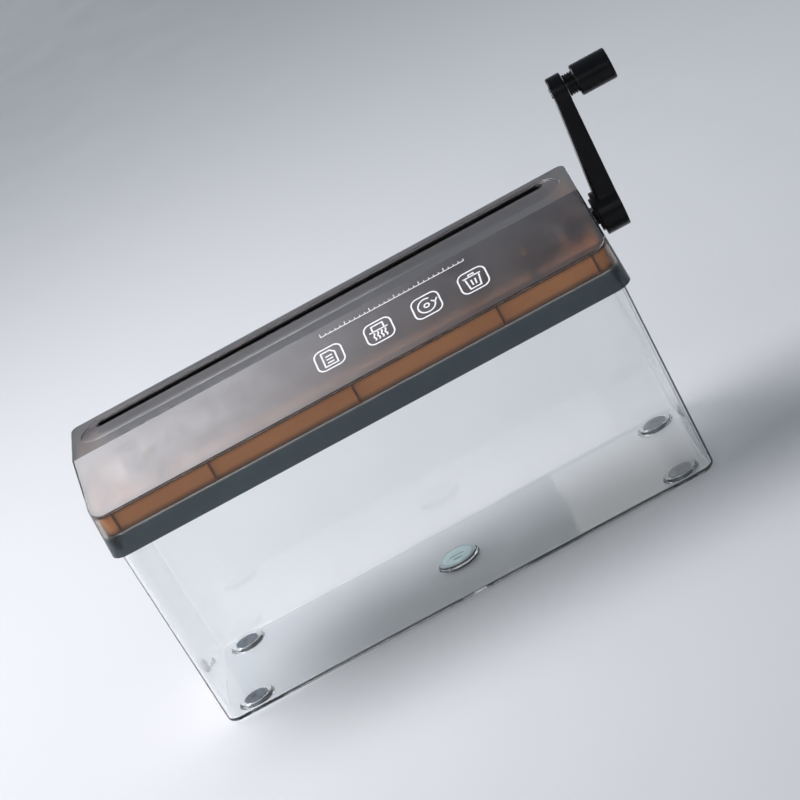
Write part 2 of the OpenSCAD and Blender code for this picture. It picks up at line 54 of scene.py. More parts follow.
# ---------------------------------------------------------------- places taken from the frame


def middle(node):
    """Middle of a CAD node's box."""
    low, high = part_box(node)
    return (low + high) / 2


def spot(node):
    """The point at height 0 under the middle of a CAD node's box."""
    place = middle(node)
    place.z = 0
    return place


def joint_place(name):
    """A point on a joint's axis."""
    for joint in frame["joints"]:
        if joint["name"] == name:
            return Vector(joint["pos_m"])


HEAD_LOW, HEAD_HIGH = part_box("head_shell")
BIN_LOW, BIN_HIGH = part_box("bin_shell")
COVER_LOW, COVER_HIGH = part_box("bottom_cover")
GUIDE_LOW, GUIDE_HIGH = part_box("feed_guide")
ARM_LOW, ARM_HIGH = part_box("crank_arm")
KNOB_LOW, KNOB_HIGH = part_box("crank_knob")
CRANK_AXIS = joint_place("front_cutter_spin")
KNOB_AXIS = joint_place("knob_spin")
MID_X = (HEAD_LOW.x + HEAD_HIGH.x) / 2
FEET = ["foot_front_left", "foot_front_right", "foot_rear_left", "foot_rear_right"]

# ---------------------------------------------------------------- sizes that a box doesn't give

WALL = 2.2 * MM
ROOF = 3 * MM
SHOULDER_Z = 122 * MM
TOP_FRONT_Y = -13 * MM
TOP_BACK_Y = 29.5 * MM
END_DRAFT = 1.8 * MM
HEAD_CORNER = 8 * MM
TOP_CORNER = 4 * MM
PANEL_SIDE_EDGE = 1.2 * MM
HEAD_EDGE = 0.5 * MM

TRAY_FRONT_Y = -2 * MM
TRAY_BACK_Y = 23.5 * MM
TRAY_HALF = 124 * MM
TRAY_FRONT_DEPTH = 0.06 * MM
TRAY_BACK_DEPTH = 1.1 * MM
TRAY_DISH = 10 * MM
TRAY_DISH_DEPTH = 0.41 * MM
GUIDE_WALL = 1.5 * MM

BIN_CORNER = Vector((119.5 * MM, 38 * MM))
BIN_FOOT_RADIUS = 6 * MM
BIN_EDGE = 3 * MM
BIN_WALL = 2 * MM
BIN_FLOOR = 2 * MM
SOCKET_RADIUS = 8.6 * MM
SOCKET_HEIGHT = 1.6 * MM
RAISED_DISC_RADIUS = 10.3 * MM

RIB_PLACES = [-120.5 * MM, -72 * MM, 0.5 * MM, 73 * MM, 120.5 * MM]
RIB_WIDTH = 1 * MM
COVER_SHOWN = 10.2 * MM
BOSS_PLACES = [(-95 * MM, -28 * MM), (95 * MM, -28 * MM),
               (-119.5 * MM, 41.4 * MM), (119.5 * MM, 41.4 * MM)]
BOSS_RADIUS = 2.4 * MM
PILOT_RADIUS = 1.1 * MM
PILOT_TOP = 120 * MM
CRANK_HOLE = 7.5 * MM

HUB_RADIUS = 10.5 * MM
HUB_X = 132.5 * MM
BOSS_X = 131.3 * MM
CRANK_BOSS_RADIUS = 8 * MM
STUB_SIDE = 7 * MM
EYE_X = 139.2 * MM
EYE_RADIUS = 7.1 * MM
WAIST = 7.2 * MM
ARM_LEAN = 2.2 * MM
ARM_TAPER = 5.6 * MM
PIN_RADIUS = 2.4 * MM

AXIS_GAP = 0.05 * MM
MERGE_DISTANCE = 0.001 * MM

# ---------------------------------------------------------------- mesh helpers


def arc(centre, radius, start, end, steps):
    """Points on an arc in a flat outline, from one angle to another in degrees."""
    angles = [math.radians(start + (end - start) * i / steps) for i in range(steps + 1)]
    return [(centre[0] + radius * math.cos(a), centre[1] + radius * math.sin(a)) for a in angles]


def rounded_outline(half_x, half_y, radius, steps=10):
    """A rectangle with round corners, anticlockwise, as flat points."""
    outline = []
    for quarter, (sx, sy) in enumerate(((1, 1), (-1, 1), (-1, -1), (1, -1))):
        centre = (sx * (half_x - radius), sy * (half_y - radius))
        outline += arc(centre, radius, 90 * quarter, 90 * quarter + 90, steps)
    return outline


def swapped(points):
    """Flat points with their two numbers swapped."""
    return [(y, x) for x, y in points]


def at_height(outline, centre, z):
    """A flat outline laid round a centre at height z."""
    return [Vector((centre.x + x, centre.y + y, z)) for x, y in outline]


def mesh_object(name, bm, materials):
    """An object from a bmesh, with its normals facing out."""
    bmesh.ops.recalc_face_normals(bm, faces=bm.faces)
    mesh = bpy.data.meshes.new(name)
    bm.to_mesh(mesh)
    bm.free()
    for material in materials:
        mesh.materials.append(material)
    piece = bpy.data.objects.new(name, mesh)
    bpy.context.scene.collection.objects.link(piece)
    return piece


def loft(name, rings, materials=(), looped=False):
    """A closed skin over rings of equally many points. Its ends are capped, or joined if it is looped."""
    bm = bmesh.new()
    rows = [[bm.verts.new(point) for point in ring] for ring in rings]
    pairs = list(zip(rows, rows[1:]))
    if looped:
        pairs.append((rows[-1], rows[0]))
    for lower, upper in pairs:
        for i in range(len(lower)):
            j = (i + 1) % len(lower)
            bm.faces.new((lower[i], lower[j], upper[j], upper[i]))
    if not looped:
        bm.faces.new(rows[0])
        bm.faces.new(rows[-1])
    return mesh_object(name, bm, materials)


def lathe(name, profile, place, along="Z", materials=(), steps=64, looped=False):
    """Turns a profile of (radius, height) points round an axis through place."""
    rings = []
    for radius, height in profile:
        ring = []
        for i in range(steps):
            a = 2 * math.pi * i / steps
            u, v = radius * math.cos(a), radius * math.sin(a)
            ring.append(place + (Vector((u, v, height)) if along == "Z" else Vector((height, u, v))))
        rings.append(ring)
    return loft(name, rings, materials, looped)


def prism(name, outline, low, high, along="Z", materials=()):
    """Extrudes a flat outline between two heights along Z, or along X with the outline in Y and Z."""
    rings = []
    for level in (low, high):
        if along == "Z":
            rings.append([Vector((x, y, level)) for x, y in outline])
        else:
            rings.append([Vector((level, y, z)) for y, z in outline])
    return loft(name, rings, materials)


def block(name, low, high):
    """A plain box, used only as a cutting tool or to be joined to a shell."""
    return prism(name, [(low[0], low[1]), (high[0], low[1]), (high[0], high[1]), (low[0], high[1])],
                 low[2], high[2])


def combine(piece, tools, operation):
    """Cuts tools from a piece, joins them to it or keeps what they share, and removes the tools."""
    for tool in tools:
        modifier = piece.modifiers.new("combine", "BOOLEAN")
        modifier.object = tool
        modifier.operation = operation
        modifier.solver = "EXACT"
    graph = bpy.context.evaluated_depsgraph_get()
    mesh = bpy.data.meshes.new_from_object(piece.evaluated_get(graph))
    piece.modifiers.clear()
    piece.data = mesh
    for tool in tools:
        bpy.data.objects.remove(tool)
    bm = bmesh.new()
    bm.from_mesh(mesh)
    bmesh.ops.remove_doubles(bm, verts=bm.verts, dist=MERGE_DISTANCE)
    bmesh.ops.dissolve_degenerate(bm, edges=bm.edges, dist=MERGE_DISTANCE)
    bm.to_mesh(mesh)
    bm.free()
    return piece


def soften(piece, angle=32):
    """Smooth shading that keeps flat faces flat and edges sharper than angle crisp."""
    mesh = piece.data
    mesh.polygons.foreach_set("use_smooth", [True] * len(mesh.polygons))
    mesh.set_sharp_from_angle(angle=math.radians(angle))
    modifier = piece.modifiers.new("flat_faces", "WEIGHTED_NORMAL")
    modifier.keep_sharp = True
    modifier.weight = 100


def finished(piece, body, nodes=(), angle=32):
    """Shades a piece, hangs it on the empty of the body it rides on and hides the CAD nodes it stands for."""
    soften(piece, angle)
    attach(piece, body)
    if nodes:
        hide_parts(*nodes)


# ---------------------------------------------------------------- material helpers


SMOKED_IOR = 1.52
SMOKED_PASS = (0.84, 0.82, 0.81)


def new_material(name, sockets=None):
    """A material with its node tree and shader, whose given sockets are set to plain values."""
    material = bpy.data.materials.new(name)
    material.use_nodes = True
    shader = material.node_tree.nodes["Principled BSDF"]
    for socket, value in (sockets or {}).items():
        shader.inputs[socket].default_value = value
    return material, material.node_tree, shader


def noise(tree, size, detail=3.0, stretch=(1, 1, 1)):
    """Noise with features of about size, in metres, in the piece's own space."""
    place = tree.nodes.new("ShaderNodeTexCoord")
    mapping = tree.nodes.new("ShaderNodeMapping")
    mapping.inputs["Scale"].default_value = stretch
    texture = tree.nodes.new("ShaderNodeTexNoise")
    texture.inputs["Scale"].default_value = 1 / size
    texture.inputs["Detail"].default_value = detail
    tree.links.new(place.outputs["Object"], mapping.inputs["Vector"])
    tree.links.new(mapping.outputs["Vector"], texture.inputs["Vector"])
    return texture.outputs["Fac"]


def map_range(tree, value, start, end, low, high, curve="LINEAR"):
    """A value's range start..end mapped to low..high."""
    node = tree.nodes.new("ShaderNodeMapRange")
    node.interpolation_type = curve
    limits = {"From Min": start, "From Max": end, "To Min": low, "To Max": high}
    for name, limit in limits.items():
        node.inputs[name].default_value = limit
    tree.links.new(value, node.inputs["Value"])
    return node.outputs["Result"]


def spread(tree, value, low, high):
    """Noise's middle range mapped to low..high."""
    return map_range(tree, value, 0.3, 0.7, low, high)


def tint(tree, value, dark, light):
    """A colour between dark and light, by noise."""
    node = tree.nodes.new("ShaderNodeMix")
    node.data_type = "RGBA"
    node.inputs["A"].default_value = (*dark, 1)
    node.inputs["B"].default_value = (*light, 1)
    tree.links.new(spread(tree, value, 0, 1), node.inputs["Factor"])
    return node.outputs["Result"]


def by_height(tree, start, end, low, high):
    """A value that goes from low to high between two heights."""
    place = tree.nodes.new("ShaderNodeTexCoord")
    split = tree.nodes.new("ShaderNodeSeparateXYZ")
    tree.links.new(place.outputs["Object"], split.inputs["Vector"])
    return map_range(tree, split.outputs["Z"], start, end, low, high, "SMOOTHSTEP")


def mixed(tree, share, first, second):
    """A mix of two colours."""
    node = tree.nodes.new("ShaderNodeMix")
    node.data_type = "RGBA"
    tree.links.new(share, node.inputs["Factor"])
    tree.links.new(first, node.inputs["A"])
    tree.links.new(second, node.inputs["B"])
    return node.outputs["Result"]


def larger(tree, first, second):
    """The larger of two values."""
    node = tree.nodes.new("ShaderNodeMath")
    node.operation = "MAXIMUM"
    tree.links.new(first, node.inputs[0])
    tree.links.new(second, node.inputs[1])
    return node.outputs["Value"]


def darkened(tree, colour, share):
    """A colour multiplied by a value."""
    node = tree.nodes.new("ShaderNodeMix")
    node.data_type = "RGBA"
    node.blend_type = "MULTIPLY"
    node.inputs["Factor"].default_value = 1
    tree.links.new(colour, node.inputs["A"])
    tree.links.new(share, node.inputs["B"])
    return node.outputs["Result"]


def dye(tree, shader, value, dark, light):
    """Colours a shader between dark and light, by noise."""
    tree.links.new(tint(tree, value, dark, light), shader.inputs["Base Color"])


def roughen(tree, shader, value, low, high):
    """Gives a shader a roughness between low and high, by noise."""
    tree.links.new(spread(tree, value, low, high), shader.inputs["Roughness"])


def bump(tree, shader, height, depth):
    """Relief of a given depth, in metres."""
    node = tree.nodes.new("ShaderNodeBump")
    node.inputs["Strength"].default_value = 1
    node.inputs["Distance"].default_value = depth
    tree.links.new(height, node.inputs["Height"])
    tree.links.new(node.outputs["Normal"], shader.inputs["Normal"])


def let_lamps_through(tree, shader, colour):
    """Rays from lamps pass tinted, so that what lies behind the plastic is lit."""
    path = tree.nodes.new("ShaderNodeLightPath")
    clear = tree.nodes.new("ShaderNodeBsdfTransparent")
    clear.inputs["Color"].default_value = (*colour, 1)
    mix = tree.nodes.new("ShaderNodeMixShader")
    tree.links.new(path.outputs["Is Shadow Ray"], mix.inputs[0])
    tree.links.new(shader.outputs["BSDF"], mix.inputs[1])
    tree.links.new(clear.outputs["BSDF"], mix.inputs[2])
    tree.links.new(mix.outputs["Shader"], tree.nodes["Material Output"].inputs["Surface"])


def clear_plastic():
    """Water-clear styrene: polished, with the faint waves and hazy spots of a big moulding."""
    material, tree, shader = new_material("clear_plastic", {"Transmission Weight": 1, "IOR": 1.5})
    dye(tree, shader, noise(tree, 0.05), (0.925, 0.935, 0.94), (0.95, 0.96, 0.96))
    roughen(tree, shader, noise(tree, 0.02), 0.0, 0.03)
    bump(tree, shader, noise(tree, 0.03, 1), 0.03 * MM)
    let_lamps_through(tree, shader, (0.84, 0.85, 0.86))
    return material


def smoked_plastic():
    """Smoked styrene, polished, with painted shade: darker in the skirt's lower band and in a line under the fold.
    """
    sockets = {"Specular IOR Level": 0.3, "Transmission Weight": 1, "IOR": SMOKED_IOR}
    material, tree, shader = new_material("smoked_polished", sockets)
    # painted shade: the skirt's lower band, below the bin's rim, gets a much darker slate colour than the rest
    deep = tint(tree, noise(tree, 0.04), (0.038, 0.055, 0.063), (0.046, 0.066, 0.075))
    thin = tint(tree, noise(tree, 0.04), (0.47, 0.39, 0.34), (0.53, 0.45, 0.40))
    rise = by_height(tree, BIN_HIGH.z - 0.6 * MM, BIN_HIGH.z + 0.4 * MM, 0, 1)
    # painted shade: below and above together darken a thin line just under the fold
    below = by_height(tree, SHOULDER_Z - 1.6 * MM, SHOULDER_Z - 1.1 * MM, 1, 0.1)
    above = by_height(tree, SHOULDER_Z - 0.1 * MM, SHOULDER_Z + 0.3 * MM, 0, 1)
    smoke_and_shade = darkened(tree, mixed(tree, rise, deep, thin), larger(tree, below, above))
    tree.links.new(smoke_and_shade, shader.inputs["Base Color"])
    roughen(tree, shader, noise(tree, 0.015), 0.02, 0.07)
    bump(tree, shader, noise(tree, 0.02, 1), 0.008 * MM)
    let_lamps_through(tree, shader, SMOKED_PASS)
    return material


def satin_plastic():
    """Smoked styrene of the flat top round the tray: satin, so that what lies under it blurs, with a dark slate
    colour that is painted reflection of a cool surround.
    """
    sockets = {"Transmission Weight": 0.8, "IOR": SMOKED_IOR}
    material, tree, shader = new_material("smoked_satin", sockets)
    # painted reflection: the dark cool slate stands in for the surround mirrored in the top
    dye(tree, shader, noise(tree, 0.04), (0.14, 0.142, 0.15), (0.18, 0.18, 0.19))
    roughen(tree, shader, noise(tree, 0.01, 4), 0.28, 0.34)
    bump(tree, shader, noise(tree, 0.0008, 2), 0.0005 * MM)
    let_lamps_through(tree, shader, SMOKED_PASS)
    return material


def frosted_plastic():
    """Smoked styrene with the fine spark-eroded grain of the sloping panels and the tray."""
    sockets = {"Transmission Weight": 0.85, "Specular IOR Level": 1, "IOR": SMOKED_IOR}
    material, tree, shader = new_material("smoked_frosted", sockets)
    dye(tree, shader, noise(tree, 0.03, 5), (0.11, 0.10, 0.108), (0.165, 0.15, 0.16))
    roughen(tree, shader, noise(tree, 0.012, 5), 0.28, 0.35)
    bump(tree, shader, noise(tree, 0.0006, 2), 0.03 * MM)
    let_lamps_through(tree, shader, SMOKED_PASS)
    return material


def rib_plastic():
    """Smoked ribs, seen edge on, which look browner than the wall, and a dark painted shade line on the fold over
    them.
    """
    sockets = {"Specular IOR Level": 0.1, "Transmission Weight": 0.2}
    material, tree, shader = new_material("smoked_rib", sockets)
    rib = tint(tree, noise(tree, 0.004), (0.26, 0.12, 0.045), (0.34, 0.16, 0.07))
    # painted shade: the dark colour of the fold under each panel
    fold = tint(tree, noise(tree, 0.004), (0.045, 0.021, 0.013), (0.07, 0.033, 0.02))
    rise = by_height(tree, COVER_HIGH.z, SHOULDER_Z - HEAD_EDGE, 0, 1)
    tree.links.new(mixed(tree, rise, rib, fold), shader.inputs["Base Color"])
    roughen(tree, shader, noise(tree, 0.003), 0.4, 0.55)
    return material


def tan_plastic():
    """Satin tan plastic of the inner cover, with soft flow lines and painted shade that darkens it along both its
    edges.
    """
    material, tree, shader = new_material("tan_plastic")
    flow = tint(tree, noise(tree, 0.012, 4, (0.2, 1, 1)), (0.90, 0.45, 0.16), (0.97, 0.52, 0.20))
    low = COVER_HIGH.z - COVER_SHOWN
    # painted shade: darker towards the cover's lower and upper edges
    foot = by_height(tree, low, low + 3 * MM, 0.25, 1)
    upper_edge_shade = by_height(tree, COVER_HIGH.z - 2.8 * MM, COVER_HIGH.z, 1, 0.5)
    tree.links.new(darkened(tree, darkened(tree, flow, foot), upper_edge_shade), shader.inputs["Base Color"])
    roughen(tree, shader, noise(tree, 0.002, 4), 0.42, 0.6)
    bump(tree, shader, noise(tree, 0.0008, 2), 0.02 * MM)
    return material


def black_plastic():
    """Satin black moulded plastic with a fine grain and slightly worn, shinier spots."""
    material, tree, shader = new_material("black_plastic", {"Specular IOR Level": 0.18})
    dye(tree, shader, noise(tree, 0.01, 4), (0.0015, 0.0015, 0.002), (0.004, 0.004, 0.005))
    roughen(tree, shader, noise(tree, 0.006, 5), 0.2, 0.32)
    bump(tree, shader, noise(tree, 0.0005, 2), 0.006 * MM)
    return material


def comb_plastic():
    """Dull dark grey glass-filled nylon, with short fibres showing at its surface."""
    material, tree, shader = new_material("comb_plastic")
    fibres = noise(tree, 0.0015, 4, (0.3, 1, 1))
    dye(tree, shader, fibres, (0.035, 0.035, 0.038), (0.075, 0.075, 0.08))
    roughen(tree, shader, noise(tree, 0.002, 4), 0.5, 0.7)
    bump(tree, shader, noise(tree, 0.0008, 3, (0.2, 1, 1)), 0.02 * MM)
    return material


def gear_plastic():
    """Natural acetal, waxy and slightly see-through."""
    sockets = {"Subsurface Weight": 0.15, "Subsurface Scale": 0.002}
    material, tree, shader = new_material("gear_plastic", sockets)
    dye(tree, shader, noise(tree, 0.008), (0.74, 0.73, 0.67), (0.84, 0.83, 0.78))
    roughen(tree, shader, noise(tree, 0.002), 0.32, 0.45)
    bump(tree, shader, noise(tree, 0.0008, 2), 0.01 * MM)
    return material


def rubber():
    """Dark slate-blue rubber with a dusty bloom."""
    material, tree, shader = new_material("rubber")
    dye(tree, shader, noise(tree, 0.002, 5), (0.012, 0.022, 0.034), (0.028, 0.044, 0.060))
    roughen(tree, shader, noise(tree, 0.001, 4), 0.45, 0.7)
    bump(tree, shader, noise(tree, 0.0006, 3), 0.03 * MM)
    return material


def label_film():
    """Pale teal sticker with slightly uneven print."""
    material, tree, shader = new_material("label_film")
    dye(tree, shader, noise(tree, 0.003, 4), (0.50, 0.67, 0.70), (0.62, 0.77, 0.79))
    roughen(tree, shader, noise(tree, 0.002), 0.12, 0.25)
    bump(tree, shader, noise(tree, 0.001, 2), 0.01 * MM)
    return material


def label_ink():
    """Darker green print on the sticker."""
    material, tree, shader = new_material("label_ink")
    dye(tree, shader, noise(tree, 0.001, 4), (0.10, 0.24, 0.20), (0.18, 0.36, 0.31))
    roughen(tree, shader, noise(tree, 0.002), 0.3, 0.45)
    return material


def white_ink():
    """White pad print, a little thin in places."""
    material, tree, shader = new_material("white_ink")
    dye(tree, shader, noise(tree, 0.0008, 4), (0.80, 0.79, 0.80), (0.93, 0.92, 0.93))
    roughen(tree, shader, noise(tree, 0.001), 0.45, 0.6)
    return material


def steel():
    """Ground steel with turning marks round the shafts' direction and oily patches."""
    material, tree, shader = new_material("steel", {"Metallic": 1})
    dye(tree, shader, noise(tree, 0.006, 5), (0.46, 0.47, 0.49), (0.62, 0.63, 0.65))
    roughen(tree, shader, noise(tree, 0.002, 5, (6, 1, 1)), 0.18, 0.38)
    bump(tree, shader, noise(tree, 0.001, 3, (8, 1, 1)), 0.004 * MM)
    return material


def zinc():
    """Zinc-plated steel: cloudy and faintly blue."""
    material, tree, shader = new_material("zinc", {"Metallic": 1})
    dye(tree, shader, noise(tree, 0.004, 6), (0.52, 0.54, 0.57), (0.70, 0.71, 0.73))
    roughen(tree, shader, noise(tree, 0.003, 6), 0.22, 0.45)
    bump(tree, shader, noise(tree, 0.0008, 3), 0.006 * MM)
    return material


def bronze():
    """Sintered bronze with open, oil-dark pores."""
    material, tree, shader = new_material("bronze", {"Metallic": 1})
    dye(tree, shader, noise(tree, 0.0006, 3), (0.28, 0.17, 0.07), (0.66, 0.47, 0.22))
    roughen(tree, shader, noise(tree, 0.0008, 3), 0.35, 0.55)
    bump(tree, shader, noise(tree, 0.0005, 2), 0.01 * MM)
    return material


def floor_paint():
    """Plain pale studio floor."""
    material, tree, shader = new_material("floor_paint")
    dye(tree, shader, noise(tree, 0.8, 2), (0.56, 0.565, 0.57), (0.58, 0.585, 0.59))
    roughen(tree, shader, noise(tree, 0.05, 3), 0.6, 0.7)
    return material


# ---------------------------------------------------------------- bin


def bin_ring(reach, z):
    """The bin's outline at height z, a given reach out from the middles of its corners."""
    outline = rounded_outline(BIN_CORNER.x + reach, BIN_CORNER.y + reach, reach, 12)
    return at_height(outline, Vector((MID_X, 0)), z)


def bin_profile():
    """(reach, height) points from the middle of the underside, up outside, over the rim and down inside."""
    lean = (BIN_HIGH.x - MID_X - BIN_CORNER.x - BIN_FOOT_RADIUS) / (BIN_HIGH.z - BIN_LOW.z)
    tilt = math.degrees(math.atan(lean))
    floor_z = BIN_LOW.z + BIN_FLOOR
    lip = 0.6 * MM
    inner_edge = BIN_EDGE - BIN_WALL

    def wall(z, inset):
        """A point of the outer wall at height z, drawn in by an inset."""
        return (BIN_FOOT_RADIUS + (z - BIN_LOW.z) * lean - inset, z)

    outer = arc((BIN_FOOT_RADIUS - BIN_EDGE, BIN_LOW.z + BIN_EDGE), BIN_EDGE, -90, -tilt, 8)
    rim = arc(wall(BIN_HIGH.z - lip, lip), lip, -tilt, 90, 4)
    rim += arc(wall(BIN_HIGH.z - lip, BIN_WALL - lip), lip, 90, 180 - tilt, 4)
    inner = arc(wall(floor_z + inner_edge, BIN_WALL + inner_edge), inner_edge, -tilt, -90, 6)
    return outer + rim + inner


def raised_disc(place, radius, top):
    """A disc that rises from the bin's floor, with a filleted foot and a rounded upper edge."""
    edge, root, sink = 0.7 * MM, 0.8 * MM, 0.02 * MM
    floor_z = BIN_LOW.z + BIN_FLOOR
    profile = [(radius + root, BIN_LOW.z + BIN_FLOOR / 2)]
    profile += arc((radius + root, floor_z + root - sink), root, 270, 180, 5)
    profile += arc((radius - edge, top - edge), edge, 0, 90, 5)
    return lathe("raised_disc", profile, place, steps=72)


def hollow_disc(place, radius, top):
    """The space of a round hollow that is open at the bin's underside."""
    edge = 0.7 * MM
    profile = [(radius, BIN_LOW.z - 1 * MM)] + arc((radius - edge, top - edge), edge, 0, 90, 4)
    return lathe("hollow_disc", profile, place, steps=72)


def build_bin(plastic):
    """The clear bin: leaning walls, a rounded rim, four foot sockets and a raised disc for the label."""
    rings = [bin_ring(reach, z) for reach, z in bin_profile()]
    shell = loft("waste_bin", rings, [plastic])
    floor_z = BIN_LOW.z + BIN_FLOOR
    gap = 0.05 * MM
    disc_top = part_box("floor_label")[0].z
    raised, hollows = [], []
    for node in FEET:
        foot_low, foot_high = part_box(node)
        radius = (foot_high.x - foot_low.x) / 2 + gap
        raised.append(raised_disc(spot(node), SOCKET_RADIUS, floor_z + SOCKET_HEIGHT))
        hollows.append(hollow_disc(spot(node), radius, foot_high.z + gap))
    raised.append(raised_disc(spot("floor_label"), RAISED_DISC_RADIUS, disc_top))
    combine(shell, raised, "UNION")
    combine(shell, hollows, "DIFFERENCE")
    finished(shell, "bin", ["bin_shell"])


def build_foot(node, material):
    """A rubber foot: rounded edges, a shallow dish and two tread rings underneath."""
    low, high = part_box(node)
    radius = (high.x - low.x) / 2
    edge = 0.7 * MM
    profile = [(AXIS_GAP, 0.5 * MM), (1.6 * MM, 0.5 * MM), (1.9 * MM, 0.1 * MM), (2.1 * MM, 0)]
    profile += [(2.7 * MM, 0), (2.9 * MM, 0.1 * MM), (3.1 * MM, 0.4 * MM), (3.5 * MM, 0.4 * MM)]
    profile += [(3.7 * MM, 0.1 * MM), (3.9 * MM, 0)]
    profile += arc((radius - edge, edge), edge, -90, 0, 4)
    profile += arc((radius - edge, high.z - edge), edge, 0, 90, 4)
    profile += [(2 * MM, high.z), (1.6 * MM, high.z - 0.4 * MM), (AXIS_GAP, high.z - 0.4 * MM)]
    foot = lathe("rubber_" + node, profile, spot(node), materials=[material], steps=56)
    finished(foot, "bin", [node])


def build_label(film, ink):
    """The round sticker on the bin's floor: a thin domed disc with a plain printed ring and two bars."""
    low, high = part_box("floor_label")
    place = middle("floor_label")
    place.z = low.z
    radius = (high.x - low.x) / 2
    rim = 0.15 * MM
    dome = 0.4 * MM
    steps = 8
    profile = [(radius, 0), (radius, rim)]
    for i in range(1, steps):
        share = i / steps
        profile.append((radius * (1 - share), rim + dome * (1 - (1 - share) ** 2)))
    profile.append((AXIS_GAP, rim + dome))
    disc = lathe("round_sticker", profile, place, materials=[film], steps=96)
    finished(disc, "bin", ["floor_label"], 50)

    def dome_z(r):
        """The height of the print at radius r."""
        return 0.16 * MM + dome * (1 - (r / radius) ** 2)

    ring = []
    for r, lift in ((0.90, 0), (0.90, 1), (0.96, 1), (0.96, 0)):
        ring.append((radius * r, dome_z(radius * r) + (0.04 * lift - 0.03) * MM))
    printed = lathe("sticker_ring", ring, place, materials=[ink], steps=96, looped=True)
    finished(printed, "bin")
    for i, (length, y) in enumerate(((0.85, 0.02), (0.5, -0.4))):
        z = place.z + dome_z(radius * 0.3)
        half, thick = radius * length / 2, 0.55 * MM
        outline = rounded_outline(half, thick, thick * 0.99, 6)
        centre = Vector((place.x, place.y + y * radius))
        rings = [at_height(outline, centre, z - 0.08 * MM), at_height(outline, centre, z + 0.08 * MM)]
        finished(loft(f"sticker_bar_{i + 1}", rings, [ink]), "bin")


# ---------------------------------------------------------------- head


def slice_off(bm, point, normal):
    """Cuts away what lies beyond a plane and closes the cut."""
    geometry = bm.verts[:] + bm.edges[:] + bm.faces[:]
    cut = bmesh.ops.bisect_plane(bm, geom=geometry, plane_co=point, plane_no=normal, clear_outer=True)
    edges = [e for e in cut["geom_cut"] if isinstance(e, bmesh.types.BMEdge)]
    bmesh.ops.edgeloop_fill(bm, edges=edges)


def panel_planes():
    """The front and back sloping panels' planes, each as a point on it and its normal."""
    half_y = HEAD_HIGH.y
    rise = HEAD_HIGH.z - SHOULDER_Z
    front = Vector((0, -rise, TOP_FRONT_Y + half_y)).normalized()
    back = Vector((0, rise, half_y - TOP_BACK_Y)).normalized()
    return [(Vector((MID_X, -half_y, SHOULDER_Z)), front), (Vector((MID_X, half_y, SHOULDER_Z)), back)]


def head_body(name, wall, roof, levels, steps, materials=()):
    """The head's solid, drawn in by a wall's thickness. Levels are its lower (extra inset, height) rings."""
    centre = Vector((MID_X, 0))
    rings = []
    for extra, z in levels + [(0, HEAD_HIGH.z - roof)]:
        lean = END_DRAFT * (z - HEAD_LOW.z) / (HEAD_HIGH.z - HEAD_LOW.z)
        inset = wall + extra
        half_x = (HEAD_HIGH.x - HEAD_LOW.x) / 2 - inset - lean
        outline = rounded_outline(half_x, HEAD_HIGH.y - inset, HEAD_CORNER - inset, steps)
        rings.append(at_height(outline, centre, z))
    body = loft(name, rings, materials)
    bm = bmesh.new()
    bm.from_mesh(body.data)
    for point, normal in panel_planes():
        slice_off(bm, point - normal * wall, normal)
    bmesh.ops.recalc_face_normals(bm, faces=bm.faces)
    bm.to_mesh(body.data)
    bm.free()
    return body


def round_edge(bm, corner, first, second, radius, cuts):
    """Rounds the edge where two planes meet, through corner, by cuts that touch the round."""
    axis = corner - (first + second) * (radius / (1 + first.dot(second)))
    for k in range(1, cuts + 1):
        normal = first.slerp(second, k / (cuts + 1))
        slice_off(bm, axis + normal * radius, normal)


def round_head(body):
    """Rounds the head's outer edges, most of all those that climb to the top at the back."""
    bm = bmesh.new()
    bm.from_mesh(body.data)
    height = HEAD_HIGH.z - HEAD_LOW.z
    half_x = (HEAD_HIGH.x - HEAD_LOW.x) / 2
    shoulder_x = half_x - END_DRAFT * (SHOULDER_Z - HEAD_LOW.z) / height
    ends = [(side, Vector((side * height, 0, END_DRAFT)).normalized()) for side in (-1, 1)]
    edges = zip(panel_planes(), (TOP_FRONT_Y, TOP_BACK_Y), (PANEL_SIDE_EDGE, TOP_CORNER))
    for (point, slope), top_y, radius in edges:
        wall = Vector((0, math.copysign(1, point.y), 0))
        for side, end in ends:
            round_edge(bm, Vector((MID_X + side * shoulder_x, point.y, point.z)), slope, end, radius, 5)
        round_edge(bm, point, slope, wall, HEAD_EDGE, 3)
        round_edge(bm, Vector((MID_X, top_y, HEAD_HIGH.z)), slope, UP, HEAD_EDGE, 2)
    for side, end in ends:
        round_edge(bm, Vector((MID_X + side * (half_x - END_DRAFT), 0, HEAD_HIGH.z)), UP, end, HEAD_EDGE, 3)
    bmesh.ops.dissolve_degenerate(bm, edges=bm.edges, dist=0.01 * MM)
    bmesh.ops.recalc_face_normals(bm, faces=bm.faces)
    bm.to_mesh(body.data)
    bm.free()


def tray_depth(y):
    """How deep the tray's floor lies at y: dished behind its front edge, then falling evenly."""
    back = y - TRAY_FRONT_Y
    fall = (TRAY_BACK_DEPTH - TRAY_DISH_DEPTH - TRAY_FRONT_DEPTH) / (TRAY_BACK_Y - TRAY_FRONT_Y)
    into = min(1, max(0, back / TRAY_DISH))
    return TRAY_FRONT_DEPTH + fall * max(0, back) + TRAY_DISH_DEPTH * (1 - (1 - into) ** 3)


